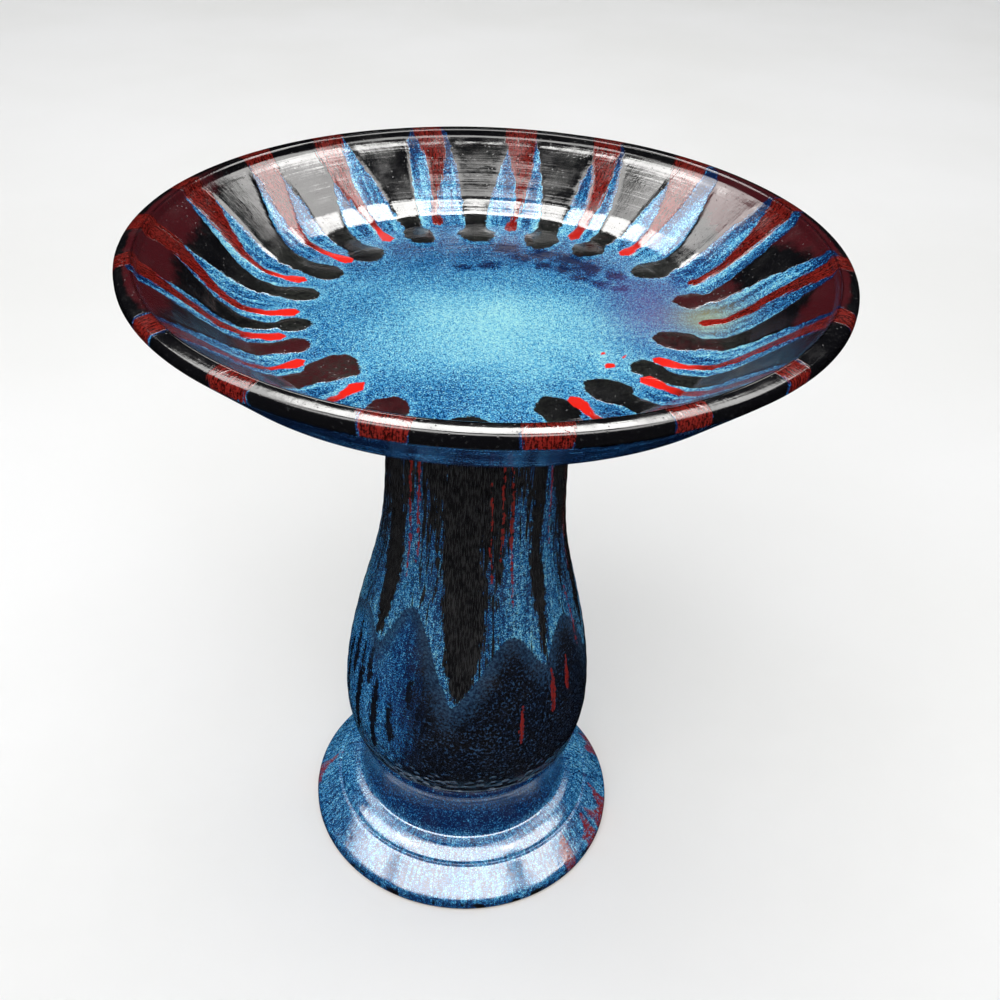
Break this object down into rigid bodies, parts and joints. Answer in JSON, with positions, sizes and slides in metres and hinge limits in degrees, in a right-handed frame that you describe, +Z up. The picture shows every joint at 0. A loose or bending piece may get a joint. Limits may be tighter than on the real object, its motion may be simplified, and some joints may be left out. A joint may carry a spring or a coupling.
{
  "type": "bird bath",
  "caption": "Two-piece glazed ceramic bird bath: a shallow round basin that lifts off a hollow vase-shaped pedestal with a stepped foot.",
  "frame": {"origin": "centre of the foot's underside, on the surface that the bird bath stands on", "axes": "+Z up, along the axis that the basin and the pedestal are round about"},
  "size_m": [0.432, 0.432, 0.5],
  "materials": {
    "basin_glaze": "glossy drip glaze: cyan and blue, with black bands and red streaks",
    "cushion_rubber": "soft matt rubber",
    "pedestal_glaze": "glossy drip glaze: black and navy over speckled blue, light blue on the foot"
  },
  "bodies": {
    "pedestal": {"pedestal": "pedestal_glaze"},
    "cushion": {"cushion_ring": "cushion_rubber"},
    "basin": {"basin": "basin_glaze"}
  },
  "joints": [
    {"name": "basin_turn", "type": "hinge", "parent": "pedestal", "child": "cushion", "pos_m": [0, 0, 0.438], "axis": [0, 0, 1], "continuous": true},
    {"name": "basin_lift", "type": "slide", "parent": "cushion", "child": "basin", "axis": [0, 0, 1], "range_m": [0, 0.12]}
  ]
}
